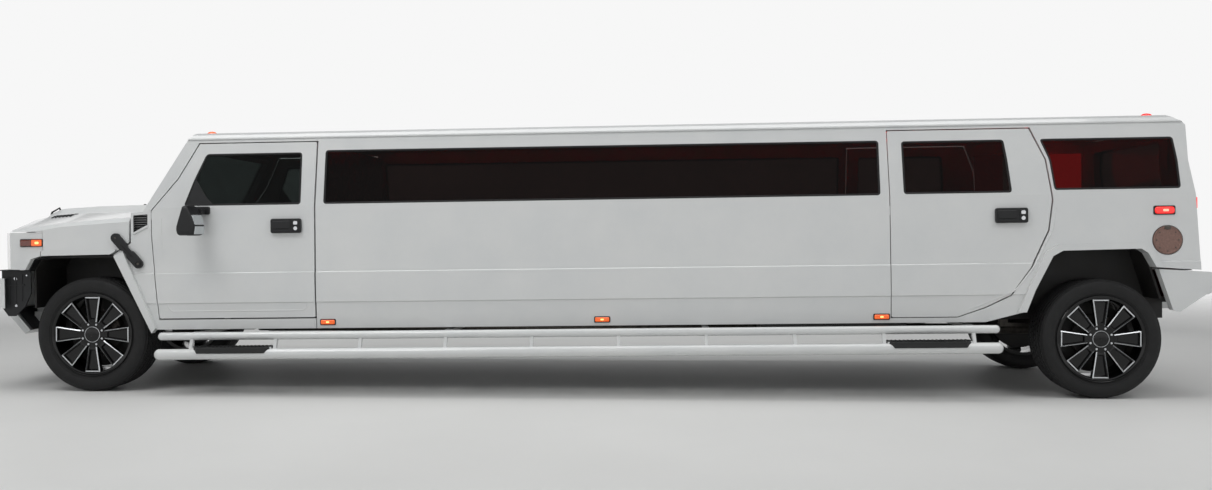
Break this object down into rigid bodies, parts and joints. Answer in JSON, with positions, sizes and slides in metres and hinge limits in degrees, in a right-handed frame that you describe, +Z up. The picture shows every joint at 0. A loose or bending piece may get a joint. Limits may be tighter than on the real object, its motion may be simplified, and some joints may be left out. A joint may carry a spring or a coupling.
{
  "type": "stretch limousine",
  "caption": "White stretch limousine on an off-road chassis, with hinged hood, side doors, tailgate and fuel door, steered front wheels and tubular running boards.",
  "frame": {"origin": "on the ground, at the car's middle, halfway between the axles", "axes": "+X towards the tail, so the nose faces -X; +Y towards the passenger's side; +Z up"},
  "size_m": [9.4666, 2.536, 2.1635],
  "materials": {
    "paint": "gloss white",
    "frame_black": "satin black",
    "iron": "machined and cast",
    "steel": "dull",
    "black_plastic": "grained",
    "chrome": "polished",
    "rim_black": "gloss black with machined edges",
    "tyre": "rubber",
    "dark_glass": "dark tint",
    "clear_glass": "light tint",
    "lamp_glass": "clear lens",
    "red_lens": "red lens",
    "amber_lens": "amber lens",
    "leather": "black leather",
    "trim": "dark interior trim"
  },
  "bodies": {
    "car": {"chassis_frame": "frame_black", "crossmembers": "frame_black", "engine_block": "iron", "exhaust": "steel", "fuel_tank": "black_plastic", "floor_pan": "frame_black", "wheel_housings": "black_plastic", "cowl_and_pillars": "paint", "windshield": "clear_glass", "roof_panel": "paint", "stretch_panels": "paint", "rear_quarters": "paint", "side_glass": "dark_glass", "front_panel": "paint", "grille": "chrome", "headlamps": "lamp_glass", "front_bumper": "paint", "rear_bumper": "paint", "tail_lamps": "red_lens", "amber_lamps": "amber_lens", "running_boards": "paint", "seats": "leather", "dashboard": "trim", "lounge_cabinet": "trim", "front_suspension": "frame_black", "rear_axle": "iron"},
    "hood": {"hood": "paint", "hood_latches": "black_plastic"},
    "driver_door": {"driver_door": "paint", "driver_glass": "clear_glass", "mirror_left": "black_plastic"},
    "passenger_door": {"passenger_door": "paint", "passenger_glass": "clear_glass", "mirror_right": "black_plastic"},
    "rear_left_door": {"rear_left_door": "paint", "rear_left_glass": "dark_glass"},
    "rear_right_door": {"rear_right_door": "paint", "rear_right_glass": "dark_glass"},
    "tailgate": {"tailgate": "paint", "tailgate_glass": "dark_glass"},
    "fuel_door": {"fuel_door": "steel"},
    "left_knuckle": {"left_knuckle": "iron"},
    "right_knuckle": {"right_knuckle": "iron"},
    "front_left_wheel": {"front_left_tyre": "tyre", "front_left_rim": "rim_black"},
    "front_right_wheel": {"front_right_tyre": "tyre", "front_right_rim": "rim_black"},
    "rear_left_wheel": {"rear_left_tyre": "tyre", "rear_left_rim": "rim_black"},
    "rear_right_wheel": {"rear_right_tyre": "tyre", "rear_right_rim": "rim_black"}
  },
  "joints": [
    {"name": "steering_left", "type": "hinge", "parent": "car", "child": "left_knuckle", "pos_m": [-3.8455, -0.8, 0.4445], "axis": [0, 0, 1], "range_deg": [-30, 30]},
    {"name": "steering_right", "type": "hinge", "parent": "car", "child": "right_knuckle", "pos_m": [-3.8455, 0.8, 0.4445], "axis": [0, 0, 1], "range_deg": [-30, 30]},
    {"name": "front_left_roll", "type": "hinge", "parent": "left_knuckle", "child": "front_left_wheel", "pos_m": [-3.8455, -0.851, 0.4445], "axis": [0, 1, 0], "continuous": true},
    {"name": "front_right_roll", "type": "hinge", "parent": "right_knuckle", "child": "front_right_wheel", "pos_m": [-3.8455, 0.851, 0.4445], "axis": [0, 1, 0], "continuous": true},
    {"name": "rear_left_roll", "type": "hinge", "parent": "car", "child": "rear_left_wheel", "pos_m": [3.8455, -0.851, 0.4445], "axis": [0, 1, 0], "continuous": true},
    {"name": "rear_right_roll", "type": "hinge", "parent": "car", "child": "rear_right_wheel", "pos_m": [3.8455, 0.851, 0.4445], "axis": [0, 1, 0], "continuous": true},
    {"name": "hood_hinge", "type": "hinge", "parent": "car", "child": "hood", "pos_m": [-4.59771, 0, 1.28493], "axis": [0, -1, 0], "range_deg": [0, 55]},
    {"name": "driver_door_hinge", "type": "hinge", "parent": "car", "child": "driver_door", "pos_m": [-3.3613, -1.008, 0.95608], "axis": [0.0131, 0, -0.9999], "range_deg": [0, 68]},
    {"name": "passenger_door_hinge", "type": "hinge", "parent": "car", "child": "passenger_door", "pos_m": [-3.3613, 1.008, 0.95608], "axis": [-0.0131, 0, 0.9999], "range_deg": [0, 68]},
    {"name": "rear_left_door_hinge", "type": "hinge", "parent": "car", "child": "rear_left_door", "pos_m": [2.30321, -1.008, 1.03024], "axis": [0.0131, 0, -0.9999], "range_deg": [0, 68]},
    {"name": "rear_right_door_hinge", "type": "hinge", "parent": "car", "child": "rear_right_door", "pos_m": [2.30321, 1.008, 1.03024], "axis": [-0.0131, 0, 0.9999], "range_deg": [0, 68]},
    {"name": "tailgate_hinge", "type": "hinge", "parent": "car", "child": "tailgate", "pos_m": [4.49525, 0, 2.03502], "axis": [0, -1, 0], "range_deg": [0, 88]},
    {"name": "fuel_door_hinge", "type": "hinge", "parent": "car", "child": "fuel_door", "pos_m": [4.21145, -0.998, 1.17723], "axis": [0.0131, 0, -0.9999], "range_deg": [0, 100]}
  ],
  "couplings": [
    {"joint": "steering_right", "follows": "steering_left", "ratio": 1}
  ]
}
